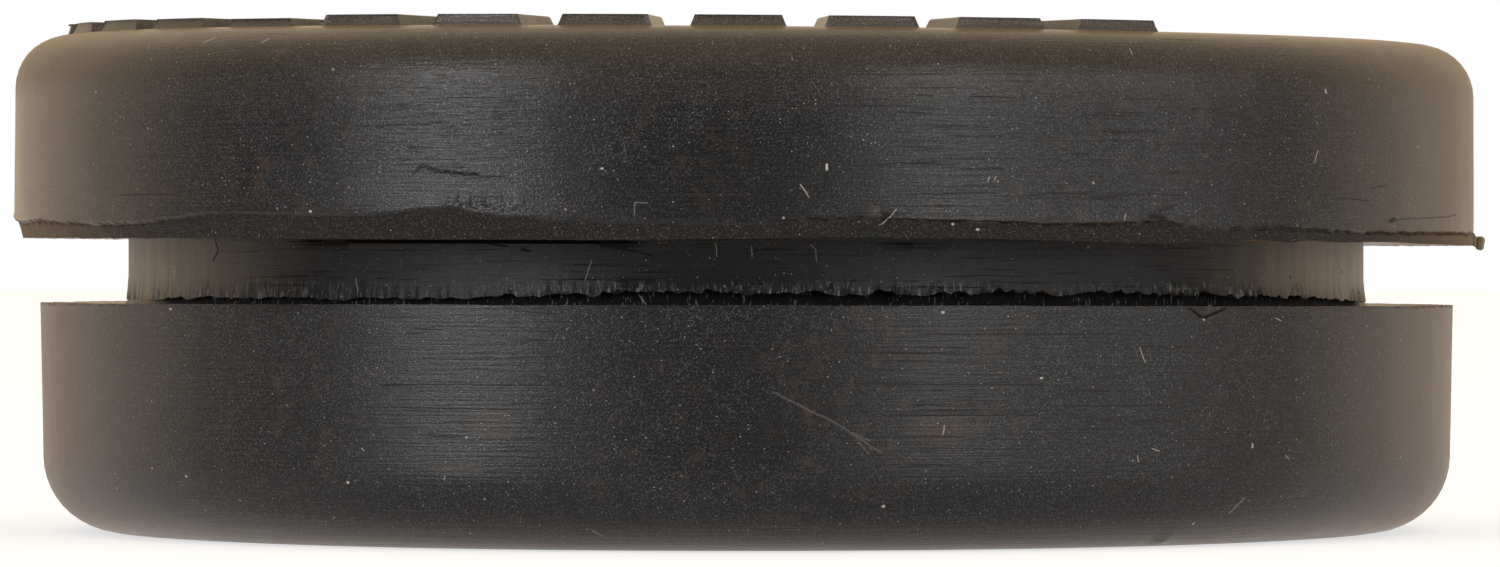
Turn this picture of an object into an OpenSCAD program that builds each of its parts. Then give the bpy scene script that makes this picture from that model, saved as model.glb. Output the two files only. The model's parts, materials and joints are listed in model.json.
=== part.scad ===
// Rubber grommet: two thick flanges, a groove between them for the edge of a panel, and a plain
// hole through the middle. Millimetres, +Z up the hole, origin at the centre of the base.

/* [Neck and groove] */
// Diameter of the neck, which fills the hole in the panel
neck_d = 31; // [25:0.1:40]
// Width of the groove, which takes the thickness of the panel
groove_w = 1.55; // [0.8:0.05:4]
// Radius in the two corners at the bottom of the groove
root_round = 0.15; // [0.05:0.05:0.35]

/* [Lower flange] */
// How far the lower flange stands out past the neck
lower_reach = 2.2; // [1.5:0.05:4]
// Thickness of the lower flange
lower_t = 5.7; // [3.5:0.1:9]
// Lean of its side wall, which lets it leave the mould, in degrees
lower_draft = 1.1; // [0:0.1:5]
// Radius round its bottom edge
lower_round = 1.9; // [0.3:0.1:3]

/* [Upper flange] */
// How far the upper flange stands out past the neck
upper_reach = 2.75; // [1.5:0.05:4]
// Thickness of the upper flange
upper_t = 4.95; // [3:0.05:8]
// Radius round its top edge
upper_round = 1.4; // [0.3:0.1:2]
// Height of the trimmed lip at its lower edge
lip_h = 0.45; // [0.1:0.05:1]
// How far the foot of that lip is trimmed back
lip_in = 0.12; // [0.02:0.02:0.6]

/* [Hole] */
// Diameter of the hole through the middle
bore_d = 19.05; // [10:0.05:23]
// Radius at the two mouths of the hole
mouth_round = 0.6; // [0.1:0.1:1]

/* [Raised bars] */
// Number of bars on the top face
bar_count = 13; // [1:1:34]
// Angle from one bar to the next, in degrees
bar_pitch = 10.5; // [9:0.5:20]
// Direction of the first bar, clockwise from -Y seen from above, in degrees
bar_first = -31; // [-180:1:180]
// Length of a bar round the ring, at its foot
bar_l = 2.1; // [1:0.1:2.6]
// Width of a bar across the ring, at its foot
bar_w = 2.4; // [1:0.1:3]
// Height of a bar
bar_h = 0.28; // [0.1:0.02:0.8]
// How far each side of a bar leans in on its way up
bar_lean = 0.1; // [0:0.02:0.4]
// Distance from the side of the upper flange to the bars
bar_margin = 1.25; // [0.8:0.05:2]

/* [Hidden] */
$fn = 96;
arc_steps = 12;
bore_r = bore_d / 2;
neck_r = neck_d / 2;
lower_r = neck_r + lower_reach;
upper_r = neck_r + upper_reach;
groove_top = lower_t + groove_w;
height = groove_top + upper_t;
// centre of the round at the foot of the leaning lower wall, set so that the two meet smoothly
wall_below_top = lower_t - lower_round * (1 - sin(lower_draft));
lower_round_x = lower_r - wall_below_top * tan(lower_draft) - lower_round * cos(lower_draft);
// the bars stand in one ring, near the edge of the top face
bar_ring_r = upper_r - bar_margin - bar_w / 2;
bar_sunk = 0.5;

// points of a round of radius r about [x, z], from one angle to another
function round_points(x, z, r, from, to) = [
    for (i = [0:arc_steps])
        let (a = from + (to - from) * i / arc_steps)
        [x + r * cos(a), z + r * sin(a)]
];

// half of the section, from the hole's lower mouth round the outside and back
function section() = concat(
    round_points(bore_r + mouth_round, mouth_round, mouth_round, 180, 270),
    round_points(lower_round_x, lower_round, lower_round, -90, -lower_draft),
    [[lower_r, lower_t]],
    round_points(neck_r + root_round, lower_t + root_round, root_round, 270, 180),
    round_points(neck_r + root_round, groove_top - root_round, root_round, 180, 90),
    [[upper_r - lip_in, groove_top], [upper_r, groove_top + lip_h]],
    round_points(upper_r - upper_round, height - upper_round, upper_round, 0, 90),
    round_points(bore_r + mouth_round, height - mouth_round, mouth_round, 90, 180)
);

// a wedge-sided strip along Y: wide at its foot, narrower at the top, with its foot sunk in the face
module leaning_strip(width, length) {
    slope = bar_lean / bar_h;
    foot = width / 2 + slope * bar_sunk;
    top = width / 2 - bar_lean;
    rotate([90, 0, 0])
        linear_extrude(length, center = true)
            polygon([[-foot, -bar_sunk], [foot, -bar_sunk], [top, bar_h], [-top, bar_h]]);
}

// one low block with all four sides leaning in, as a mould leaves it
module bar() {
    intersection() {
        leaning_strip(bar_l, bar_w * 2);
        rotate([0, 0, 90]) leaning_strip(bar_w, bar_l * 2);
    }
}

module grommet() {
    color("#2b2a29") {
        rotate_extrude() polygon(section());
        for (i = [0:bar_count - 1])
            rotate([0, 0, -bar_first - i * bar_pitch])
                translate([0, -bar_ring_r, height])
                    bar();
    }
}

grommet();
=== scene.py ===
# %% [markdown]
# # A moulded rubber grommet
# A grommet lines a hole in sheet metal. This one is a thick ring with two flanges, a groove between
# them for the edge of the sheet, and a plain hole for a tube. It is pressed from one blank of black
# rubber, so it is one mesh here too. The shape is turned from its section, the raised bars are drawn
# up out of the top face, and the torn edges that the mould leaves are then worked into the surface.

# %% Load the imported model
import json
import math
import bmesh
import bpy
import numpy as np
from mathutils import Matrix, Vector, noise

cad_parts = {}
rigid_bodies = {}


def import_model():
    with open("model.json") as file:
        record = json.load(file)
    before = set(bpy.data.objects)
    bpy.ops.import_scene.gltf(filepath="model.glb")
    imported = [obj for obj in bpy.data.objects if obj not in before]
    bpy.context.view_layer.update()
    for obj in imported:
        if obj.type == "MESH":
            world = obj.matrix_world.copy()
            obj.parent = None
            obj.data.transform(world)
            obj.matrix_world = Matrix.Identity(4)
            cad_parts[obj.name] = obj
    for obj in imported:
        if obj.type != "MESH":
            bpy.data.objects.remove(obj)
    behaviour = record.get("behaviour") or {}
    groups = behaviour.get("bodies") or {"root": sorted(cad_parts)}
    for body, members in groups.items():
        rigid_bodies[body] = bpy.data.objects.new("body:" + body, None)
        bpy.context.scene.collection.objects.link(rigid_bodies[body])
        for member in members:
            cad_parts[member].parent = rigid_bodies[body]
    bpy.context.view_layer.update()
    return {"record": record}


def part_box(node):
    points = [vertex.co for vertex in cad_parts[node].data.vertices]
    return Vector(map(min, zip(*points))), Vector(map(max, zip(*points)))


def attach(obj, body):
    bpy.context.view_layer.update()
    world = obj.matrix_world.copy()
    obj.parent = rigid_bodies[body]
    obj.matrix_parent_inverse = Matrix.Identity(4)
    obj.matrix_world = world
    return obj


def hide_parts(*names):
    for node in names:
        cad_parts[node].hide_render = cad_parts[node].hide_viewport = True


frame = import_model()
MM = 0.001

# %% [markdown]
# ## Sizes
# The frame gives the size of the ring, and the record gives the bore and the groove. The other sizes
# belong to the moulding itself. Everything that follows is worked out from these few values.

# %% Driving sizes
mounts = {mount["name"]: mount for mount in frame["record"]["mounts"]}
bar_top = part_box("grommet")[1].z
upper_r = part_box("grommet")[1].x
bar_height = 0.28 * MM
bar_margin = 1.25 * MM
bar_width = 2.4 * MM
top = bar_top - bar_height
bore_r = mounts["bore"]["dims"]["r_mm"] * MM
mouth_round = mounts["bore"]["pos_m"][2] - mounts["bore"]["dims"]["length_mm"] * MM / 2
groove_width = 1.55 * MM
groove_low = mounts["panel_groove"]["pos_m"][2] - groove_width / 2
groove_high = groove_low + groove_width
upper_reach = 2.75 * MM
lower_reach = 2.2 * MM
neck_r = upper_r - upper_reach
lower_r = neck_r + lower_reach
draft = math.radians(1.1)
foot_round = 1.9 * MM
shoulder_round = 1.28 * MM
lip_line = groove_high + 0.4 * MM
lip_trim = 0.12 * MM
tear_line = groove_low + 0.27 * MM
tear_depth = 0.45 * MM
nicked_band = 0.35 * MM
print(f"ring {2000 * upper_r:.1f} mm across, {1000 * top:.2f} mm thick, bore {2000 * bore_r:.2f} mm")

# %% [markdown]
# ## The section
# A turned shape is drawn once, as half of its section, and then spun round its axis. The outline only
# needs its corners: straight stretches and rounds are filled in by two small helpers. Rows lie closer
# together where the rubber is torn, because that detail needs points to move.

# %% Helpers that fill in the outline
def straight(start, end, rows):
    """Points along a straight stretch, from its start up to but not at its end."""
    return [(start[0] + (end[0] - start[0]) * i / rows, start[1] + (end[1] - start[1]) * i / rows)
            for i in range(rows)]


def rounded(x, z, radius, start, end, rows):
    """Points along an arc about (x, z), from one angle up to but not at another, in radians."""
    turns = [start + (end - start) * i / rows for i in range(rows)]
    return [(x + radius * math.cos(turn), z + radius * math.sin(turn)) for turn in turns]


def through(corners, rows):
    """Straight stretches from corner to corner, each with its own number of rows."""
    return [point for start, end, count in zip(corners, corners[1:], rows)
            for point in straight(start, end, count)]


# %% Places on the outline
quarter = math.pi / 2
wall_foot_z = foot_round * (1 - math.sin(draft))
foot_x = lower_r - (groove_low - wall_foot_z) * math.tan(draft) - foot_round * math.cos(draft)
shoulder_x = upper_r - shoulder_round
bar_outer = upper_r - bar_margin
bar_inner = bar_outer - bar_width
bar_turn = math.acos((bar_outer - shoulder_x) / shoulder_round)
crisp_zone = groove_low - nicked_band
tear_zone = tear_line + 0.35 * MM
lip_zone = lip_line + 0.4 * MM
undercut = 0.1 * MM
slope = 0.06 * MM
step = 0.04 * MM
print(f"the foot rounds off {foot_x / MM:.2f} mm out, the shoulder {shoulder_x / MM:.2f} mm out")

# %% Draw the outline
outline = (
    rounded(bore_r + mouth_round, mouth_round, mouth_round, math.pi, 3 * quarter, 5)
    + straight((bore_r + mouth_round, 0), (foot_x, 0), 4)
    + rounded(foot_x, foot_round, foot_round, -quarter, -draft, 11)
    + through([
        (foot_x + foot_round * math.cos(draft), wall_foot_z),
        (lower_r - nicked_band * math.tan(draft), crisp_zone),
        (lower_r, groove_low),
        (neck_r + 0.15 * MM, groove_low - slope),
        (neck_r - tear_depth, groove_low - slope),
        (neck_r - tear_depth, tear_line + step),
        (neck_r + 0.02 * MM, tear_line),
        (neck_r, tear_zone),
        (neck_r, groove_high - 0.14 * MM),
        (neck_r - undercut, groove_high - 0.05 * MM),
        (neck_r - 0.5 * undercut, groove_high + slope),
        (neck_r + 0.15 * MM, groove_high + slope),
        (upper_r - lip_trim, groove_high),
        (upper_r - 0.05 * MM, lip_line - step),
        (upper_r, lip_line),
        (upper_r, lip_line + step),
        (upper_r, lip_zone),
        (upper_r, top - shoulder_round),
    ], [9, 4, 5, 2, 2, 3, 5, 4, 2, 1, 1, 4, 5, 1, 1, 4, 8])
    + rounded(shoulder_x, top - shoulder_round, shoulder_round, 0, bar_turn, 9)
    + rounded(shoulder_x, top - shoulder_round, shoulder_round, bar_turn, quarter, 1)
    + through([
        (shoulder_x, top),
        (bar_inner, top),
        (bore_r + mouth_round, top),
    ], [5, 3])
    + rounded(bore_r + mouth_round, top - mouth_round, mouth_round, quarter, math.pi, 5)
    + straight((bore_r, top - mouth_round), (bore_r, mouth_round), 6)
)
print(f"the section has {len(outline)} points")

# %% [markdown]
# ## Spinning the section
# The outline starts as a small plane merged to one point. The point is extruded along the outline,
# and the last one is joined to the first. Spin then carries the loop round the axis. A Screw modifier
# would do the same, but spin leaves plain faces that can be picked and worked on at once.

# %% Bars and columns round the ring
bar_pitch, bar_span, first_bar, bar_count = 10.5, 7.5, 31.0, 13
bar_angles = [first_bar - bar_pitch * i for i in range(bar_count)]
COLUMNS = 480
small = 1e-6
start_turn = math.radians(first_bar - bar_span / 2 - 90)
print(f"{bar_count} bars from {bar_angles[-1]:.1f} to {bar_angles[0]:.1f} degrees, {COLUMNS} columns")

# %% Helpers that place and select
def on_section(point):
    """A point of the section, on the half plane where the spin starts."""
    return Vector((point[0] * math.cos(start_turn), point[0] * math.sin(start_turn), point[1]))


def pick(kind, test, round_only=False):
    """Selects what has all its corners where test(angle, radius, height) holds, in edit mode.
    The angle is in degrees from the front, to the right. With round_only, just the edges that run
    round the ring are taken."""
    bpy.ops.mesh.select_mode(type=kind)
    bpy.ops.mesh.select_all(action="DESELECT")
    mesh = bmesh.from_edit_mesh(body.data)
    for vert in mesh.verts:
        at = vert.co
        vert.tag = test(math.degrees(math.atan2(at.x, -at.y)), math.hypot(at.x, at.y), at.z)
    if kind == "VERT":
        found = [vert for vert in mesh.verts if vert.tag]
    else:
        found = [part for part in (mesh.edges if kind == "EDGE" else mesh.faces)
                 if all(vert.tag for vert in part.verts)]
    if round_only:
        found = [edge for edge in found if abs(edge.verts[0].co.z - edge.verts[1].co.z) < small
                 and abs(edge.verts[0].co.xy.length - edge.verts[1].co.xy.length) < small]
    for part in found:
        part.select_set(True)
    mesh.select_flush_mode()
    bmesh.update_edit_mesh(body.data)
    return len(found)


# %% Draw the outline and spin it
bpy.ops.object.select_all(action="DESELECT")
bpy.ops.mesh.primitive_plane_add(size=MM, location=(0, 0, 0))
body = bpy.context.object
body.name = body.data.name = "grommet_body"
bpy.ops.object.mode_set(mode="EDIT")
bpy.ops.mesh.merge(type="CENTER")
bpy.ops.transform.translate(value=on_section(outline[0]))
for here, there in zip(outline, outline[1:]):
    bpy.ops.mesh.extrude_region_move(
        TRANSFORM_OT_translate={"value": on_section(there) - on_section(here)})
ends = [outline[0], outline[-1]]
hair = 1e-7
pick("VERT", lambda angle, radius, height: any(math.dist((radius, height), end) < hair for end in ends))
bpy.ops.mesh.edge_face_add()
bpy.ops.mesh.select_all(action="SELECT")
bpy.ops.mesh.spin(steps=COLUMNS, angle=2 * math.pi, center=(0, 0, 0), axis=(0, 0, 1))
bpy.ops.mesh.select_all(action="SELECT")
bpy.ops.mesh.remove_doubles(threshold=hair)
bpy.ops.mesh.normals_make_consistent(inside=False)
print(f"spun: {len(bmesh.from_edit_mesh(body.data).faces)} faces")

# %% [markdown]
# ## Raised bars
# A short row of low bars stands on the top face. The mould forms them with the ring, so they are
# drawn up out of the ring's own faces: an inset lifts each block and leans its sides in at once.
# A separate block set on top would leave a seam that the moulding does not have.

# %% Raise the bars
bar_lean = 0.1 * MM
bar_edge = 0.035 * MM


def on_a_bar(angle, radius, height):
    """True on the top face where a bar is to stand."""
    return (height > top - 0.02 * MM and bar_inner - small < radius < bar_outer + small
            and any(abs(angle - middle) < bar_span / 2 + 0.01 for middle in bar_angles))


raised = pick("FACE", on_a_bar)
bpy.ops.mesh.inset(thickness=bar_lean, depth=bar_height, use_even_offset=True)
bpy.ops.transform.resize(value=(1, 1, 0), center_override=(0, 0, bar_top))
bpy.ops.mesh.region_to_loop()
bpy.ops.mesh.bevel(offset=bar_edge, segments=2, affect="EDGES")
print(f"{bar_count} bars raised from {raised} faces")

# %% [markdown]
# ## Finer bands for the torn edges
# The trimmed lip, the foot of the groove and the sharp edge of the lower flange carry the finest
# detail. Subdividing the edges that run round the ring makes three columns out of each one there, and
# leaves the smooth walls light.

# %% Split the columns of three bands
def near_torn_edge(angle, radius, height):
    """True in the bands that hold the finest detail."""
    lip = radius > upper_r - 0.6 * MM and groove_high - small < height < lip_zone - 0.15 * MM
    foot = radius < neck_r + 0.5 * MM and groove_low - 0.05 * MM < height < tear_zone + small
    crisp = radius > lower_r - 0.6 * MM and crisp_zone + 0.1 * MM < height < groove_low + small
    neck_top = (radius < neck_r + 0.2 * MM
                and groove_high - 0.16 * MM < height < groove_high + 0.05 * MM)
    return radius > neck_r - MM and (lip or foot or crisp or neck_top)


pick("EDGE", near_torn_edge, round_only=True)
bpy.ops.mesh.subdivide(number_cuts=2, smoothness=0, ngon=False, quadcorner="INNERVERT")
print(f"now {len(bmesh.from_edit_mesh(body.data).faces)} faces")

# %% Split the faces round the crack and the dent
above_lip = lip_line + 0.5 * step
wall_skin = lower_r - 0.03 * MM
patches = [
    (-25.8, -18, 8.3 * MM, 9.15 * MM, 12),
    (29.5, 35.5, 8.0 * MM, 8.45 * MM, 9),
    (8, 11, above_lip, 8.1 * MM, 4),
    (-24.5, -15.5, above_lip, 8.1 * MM, 4),
    (35.3, 40.3, crisp_zone - small, groove_low + small, 4),
]
for left, right, under, over, cuts in patches:
    pick("FACE", lambda angle, radius, height: (
        radius > wall_skin and left < angle < right and under < height < over))
    bpy.ops.mesh.subdivide(number_cuts=cuts, smoothness=0, ngon=False, quadcorner="INNERVERT")
print(f"now {len(bmesh.from_edit_mesh(body.data).faces)} faces")
bpy.ops.object.mode_set(mode="OBJECT")

# %% [markdown]
# ## Working the torn edges
# On the real part the flash at the lip was pulled off, the foot of the groove tore as the part left
# the mould, and the sharp edge took a few nicks. Sculpt brushes would do this by hand. Here each mark
# is a small push on the points near it, so that the same marks come back on every run.

# %% Read the points as angle, radius and height
count = len(body.data.vertices)
points = np.empty(count * 3)
body.data.vertices.foreach_get("co", points)
points = points.reshape(-1, 3)
angle = np.degrees(np.arctan2(points[:, 0], -points[:, 1]))
radius = np.hypot(points[:, 0], points[:, 1])
height = points[:, 2].copy()
flat_height, flat_radius = height.copy(), radius.copy()
torn, hollow, lip, seam = (np.zeros(count) for i in range(4))
print(f"{count} points")

# %% Helpers that shape a push
def ring_curve(marks):
    """A value at every point from (angle, value) marks round the ring."""
    return np.interp(angle, [mark[0] for mark in marks], [mark[1] for mark in marks], period=360)


def ragged(teeth, seed, keep=1.0):
    """Random heights from 0 to 1 at even steps round the ring, joined by straight lines."""
    heights = np.random.default_rng(seed).random(teeth) ** keep
    return np.interp(angle, np.linspace(-180, 180, teeth, endpoint=False), heights, period=360)


def swirl(mask, size, seed):
    """Smooth noise from -1 to 1 at the points of a mask, with lumps of about the given size."""
    values = np.zeros(count)
    shift = Vector((seed * 17.3, seed * 5.1, seed * 9.7))
    for i in np.nonzero(mask)[0]:
        values[i] = noise.noise(Vector(points[i]) / size + shift)
    return values


def hill(value, low, middle, high):
    """Rises from 0 at low to 1 at middle and falls back to 0 at high."""
    return np.interp(value, [low, middle, high], [0, 1, 0])


def bump(value, middle, width):
    """1 at the middle, falling to 0 at the given distance on both sides."""
    return np.clip(1 - np.abs(value - middle) / width, 0, 1)


# %% [markdown]
# ### The trimmed lip
# The mould closes along the lip, and the thin skin of rubber that leaks out there is trimmed off by
# hand. That leaves a wavy line with a dull strip below it. The row of points on the line is moved up
# and down by marks round the ring, and pressed in a little, because the line is a real furrow.

# %% Trim the lip of the upper flange
outside = flat_radius > upper_r - 0.3 * MM
lip_rows = outside & (flat_height < lip_zone) & (flat_height > groove_high - small)
lip_shift = ring_curve([
    (-90, 0.24), (-78, -0.03), (-70, 0.03), (-58, -0.12), (-51, -0.05), (-43, 0.2), (-29, 0.12),
    (-26, 0.2), (-22, 0.32), (-18, 0.1), (-10, -0.04), (0, -0.08), (8.5, 0.1), (11, 0.04),
    (16, 0.03), (24, -0.05), (32, 0.04), (36, -0.1), (43, -0.05), (54, -0.17), (80, -0.13),
    (110, 0.02), (135, -0.08), (170, 0.1), (-140, -0.02), (-115, 0.1)]) * MM
lip_shift += (ragged(360, 3) - 0.5) * 0.05 * MM
on_line = hill(flat_height, groove_high, lip_line, lip_zone) * lip_rows
height += lip_shift * on_line
side = np.sin(np.radians(angle))
trim = 1 - 0.85 * side
below_line = lip_rows & (flat_height < lip_line - small)
radius = np.where(below_line, upper_r - (upper_r - radius) * trim, radius)
pulled = bump(flat_height, lip_line, 0.1 * MM) * lip_rows
radius += (0.004 + 0.03 * np.clip(-side, 0, 1) ** 12) * MM * pulled
lip_face = lip_rows & (flat_height < lip_line + small)
lumpy = below_line * (1 - 0.8 * np.clip(side, 0, 1)) * MM
radius += swirl(lip_face, 0.12 * MM, 1) * 0.014 * lumpy
radius += swirl(lip_face, 0.5 * MM, 2) * 0.02 * lumpy
height += swirl(lip_face, 0.3 * MM, 3) * 0.018 * MM * (flat_height < groove_high + small) * lip_rows
lip = lip_face * np.interp(flat_height, [lip_line - 0.6 * step, lip_line], [1, 0])
print(f"the lip's line wanders over {np.ptp(lip_shift) / MM:.2f} mm")

# %% Press in the seam along the lip
seam_strength = ring_curve([
    (-90, 0.9), (-62, 0.9), (-50, 0.6), (-30, 0.15), (-12, 0.25), (0, 0.4), (6, 0.8), (16, 1), (29, 1),
    (33, 0.75), (42, 0.7), (55, 0.9), (70, 1), (90, 1), (135, 0.4), (180, 0.6), (-135, 0.4)])
on_seam = lip_rows & (np.abs(flat_height - lip_line) < 0.3 * step)
least = np.interp(side, [0.75, 0.9], [0.3, 0.75])
seam = on_seam * seam_strength * np.clip(1.8 * ragged(900, 5), least, 1) * (np.abs(angle - 90) > 1.5)
under_seam = lip_rows & (np.abs(flat_height - lip_line + step) < 0.3 * step)
below_seam = under_seam * seam_strength * np.clip(2 * ragged(900, 5) - 0.4, least - 0.3, 1)
below_seam *= np.clip(np.where(side > 0, side, -0.6 * side) * 1.5, 0, 1)
below_seam *= np.abs(angle - 90) > 1.5
sunk = np.maximum(seam, 0.8 * below_seam) * np.interp(np.abs(side), [0.97, 1], [1, 0.3])
radius -= 0.1 * MM * sunk
seam = np.maximum(seam, below_seam)
print(f"{np.count_nonzero(seam)} points in the seam")

# %% Fray the lip at its end, and let the edge below it wander
frayed = lip_rows & (flat_height > lip_line + 1.1 * step) & (flat_height < lip_line + 0.3 * MM)
fray_strength = np.interp(angle, [48, 56, 88, 89], [0, 0.4, 0.55, 0])
fray_strength *= np.clip(1.5 * ragged(500, 6) - 0.3, 0, 1)
torn = np.maximum(torn, frayed * fray_strength)
wavy_edge = ring_curve([
    (-78, 0), (-58, -0.03), (-10, -0.06), (8, 0.03), (16, 0.03), (33, -0.06), (41, 0.05), (45, -0.02),
    (47, 0.06), (50, 0), (60, 0.04), (68, -0.02), (90, -0.02)]) * MM
under_side = (np.abs(flat_height - groove_high) < 0.1 * MM) & (flat_radius > neck_r + 0.1 * MM)
inward = np.interp(flat_radius, [neck_r + MM, upper_r - 0.3 * MM], [0, 1])
height += wavy_edge * under_side * np.where(wavy_edge > 0, 1, inward)
print(f"{np.count_nonzero(frayed * fray_strength)} points frayed")

# %% [markdown]
# ### The torn foot of the groove
# The foot of the neck tore as the part was pulled from the mould: ragged teeth hang over a narrow
# dark recess. Loose shreds would look stuck on, since they are one with the neck. So random heights
# draw the torn edge up and down, and the faces above it are pulled out a little.

# %% Tear the foot of the groove
in_groove = (flat_radius < neck_r + 0.3 * MM) & (flat_radius > neck_r - 0.6 * MM)
foot_rows = in_groove & (flat_height < tear_zone) & (flat_height > groove_low - slope - 0.01 * MM)
opening = ring_curve([
    (-90, 0), (-72, 0), (-64, 0.4), (-48, 0.45), (-34, 0.4), (-26, 0.55), (-19, 0.65), (-12, 0.85),
    (0, 0.95), (16, 1), (40, 1), (50, 0.9), (58, 0.75), (70, 0.5), (77, 0.35), (82, 0.1), (84, 0),
    (98, 0), (120, 0.9), (150, 0.6), (180, 0.9), (-150, 1), (-115, 0.5)])
teeth = 0.04 * ragged(1440, 11, 2) + 0.13 * ragged(560, 12, 2) + 0.15 * ragged(190, 13) - 0.12
on_tear = hill(flat_height, groove_low, tear_line, tear_zone) * foot_rows
height += (teeth * np.clip(opening, 0.2, 1) - (1 - opening ** 1.5) * 0.2) * MM * on_tear
recess = np.clip(neck_r - radius, 0, None) * foot_rows
under_tear = foot_rows & (flat_radius < neck_r - 0.01 * MM)
radius += recess * (1 - opening)
foot_fillet = np.interp(flat_height, [groove_low, tear_line], [1, 0]) ** 2
radius += 0.12 * MM * np.clip(1 - 2 * opening, 0, 1) * foot_fillet * under_tear
print(f"{np.count_nonzero(on_tear)} points drawn up or down along the tear")

# %% Pull out clumps and shreds above the tear
clumps = np.clip(1.9 * ragged(84, 23) - 0.3, 0.05, 1) * ring_curve([
    (-90, 0), (-66, 0.5), (-50, 0.5), (-30, 0.35), (-20, 0.7), (0, 0.9), (12, 0.5), (30, 0.8), (52, 1),
    (60, 0.9), (76, 0.4), (90, 0.2), (110, 1), (-110, 1)])
shreds = (0.07 * ragged(1440, 21, 5) + 0.05 * ragged(700, 22, 3)) * (0.4 + clumps)
above_tear = np.interp(flat_height, [tear_line - step, tear_line, tear_zone], [0, 1, 0]) * foot_rows
radius += shreds * above_tear * MM
radius += swirl(foot_rows, 0.1 * MM, 4) * 0.025 * MM * np.maximum(above_tear, 0.3) * foot_rows
torn = np.maximum(torn, above_tear * clumps)
print(f"{np.count_nonzero(torn)} points torn so far")

# %% Mark painted shade for the recess under the tear, and for the ledge in front of it
# Painted shade: the recess, a band just above the tear and the ledge in the groove are marked to be
# painted near black, where the flanges and the teeth shade them.
hollow = np.maximum(hollow, under_tear * np.clip(opening * 3, 0, 1))
tear_shade = np.interp(flat_height, [tear_line, tear_line + 0.2 * MM], [0.75, 0]) * (1 - clumps) ** 2
hollow = np.maximum(hollow, foot_rows * tear_shade * opening ** 2 * (flat_radius > neck_r - small))
ledge = (np.abs(flat_height - groove_low) < 0.05 * MM) & (flat_radius > neck_r - small)
ledge_shade = np.interp(flat_radius, [neck_r, neck_r + 0.6 * MM, lower_r - 0.05 * MM], [1, 0.4, 0.15])
hollow = np.maximum(hollow, ledge * ledge_shade * np.interp(np.abs(angle), [50, 68], [1, 0.1]))
print(f"{np.count_nonzero(hollow)} points lie in the dark")

# %% Open the undercut at the top of the groove in places
neck_top = in_groove & (flat_height > groove_high - 0.15 * MM)
under = ring_curve([
    (-90, 0), (-45, 0), (-41, 0.6), (-33, 1), (-14, 1), (-11, 0.6), (-8, 0), (10, 0), (14, 0.35), (20, 0),
    (60, 0), (90, 0), (100, 0.8), (112, 0), (170, 0), (176, 0.9), (-160, 0.9), (-150, 0)])
under *= np.clip(0.65 + 0.6 * ragged(240, 14), 0, 1)
radius += np.clip(neck_r - radius, 0, None) * neck_top * (1 - under)
print(f"{np.count_nonzero(neck_top)} points where the neck meets the upper flange")

# %% [markdown]
# ### Nicks in the sharp edge
# The top edge of the lower flange is a sharp corner that took small knocks. A boolean cut for each one
# would be heavy work for so little, so the corner's points are lowered by small random amounts.

# %% Nick the sharp edge of the lower flange
edge_rows = (flat_height > crisp_zone) & (flat_height < groove_low + small)
edge_rows &= flat_radius > lower_r - 0.5 * MM
near_edge = np.interp(flat_height, [crisp_zone, groove_low], [0, 1]) * edge_rows
near_edge *= np.interp(flat_radius, [lower_r - 0.5 * MM, lower_r - 0.02 * MM], [0, 1])
height -= (0.012 * ragged(900, 31, 3) + 0.03 * ragged(150, 32, 6)) * MM * near_edge
radius -= 0.04 * bump(angle, 37.4, 1.6) * MM * near_edge
corner = (np.abs(flat_height - groove_low) < small) & (flat_radius > wall_skin)
corner_mark = ragged(700, 33) * np.interp(np.abs(angle), [44, 60, 100, 120], [0, 0.9, 0.9, 0])
seam = np.maximum(seam, corner * corner_mark)
print(f"{np.count_nonzero(near_edge)} points near the sharp edge")

# %% [markdown]
# ### Crack, dent and rough patch
# The upper wall has an open crack, a dent above the lip and a rough patch. A crack that is only painted
# black still shines like the wall round it, so each one is pressed in as a narrow furrow first, and
# the paint comes later.

# %% A helper that presses in a furrow
def furrow(route, width, depth, lift=0.0):
    """Presses a line into the wall along (angle, height) points, and lifts its lower side a little."""
    global radius
    wall = (flat_radius > wall_skin) & (flat_height < top)
    near = wall & (angle > route[0][0] - 3) & (angle < route[-1][0] + 3)
    level = np.interp(angle, [mark[0] for mark in route], [mark[1] for mark in route]) * MM
    start, end = route[0][0], route[-1][0]
    taper = np.interp(angle, [start - 0.4, start + 0.3, end - 0.6, end + 0.3], [0, 1, 1, 0])
    off = (height - level) / (width * MM)
    radius = radius - depth * MM * np.clip(1 - np.abs(off), 0, 1) * taper * near
    radius = radius + lift * MM * np.clip(1 - np.abs(off + 1.6), 0, 1) * taper * near

# %% Crack and dent in the upper wall, and a cut in the sharp edge
furrow([(-24.8, 8.72), (-24.3, 8.87), (-23.9, 8.9), (-23.0, 8.8), (-21.6, 8.75), (-19.3, 8.7)],
       width=0.028, depth=0.022, lift=0.008)
furrow([(-21.3, 8.83), (-20.6, 8.86)], width=0.02, depth=0.02)
furrow([(30.6, 7.72), (31.9, 7.8), (32.5, 7.94), (33.2, 8.03)],
       width=0.08, depth=0.05, lift=0.015)
aside = (angle - 9.3) * math.radians(upper_r / MM) / 0.17
above = (height / MM - 7.88) / 0.15
blister = np.clip(1 - aside ** 2 - above ** 2, 0, 1) ** 2
radius += 0.045 * MM * blister * (flat_radius > upper_r - 0.1 * MM)
furrow([(10.0, 7.83), (10.7, 7.74)], width=0.07, depth=0.04)
furrow([(36.0, 5.64), (36.8, 5.48), (37.3, 5.41), (38.4, 5.53), (39.7, 5.66)],
       width=0.03, depth=0.06, lift=0.01)
print(f"{np.count_nonzero(blister)} points in the blister")

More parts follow.
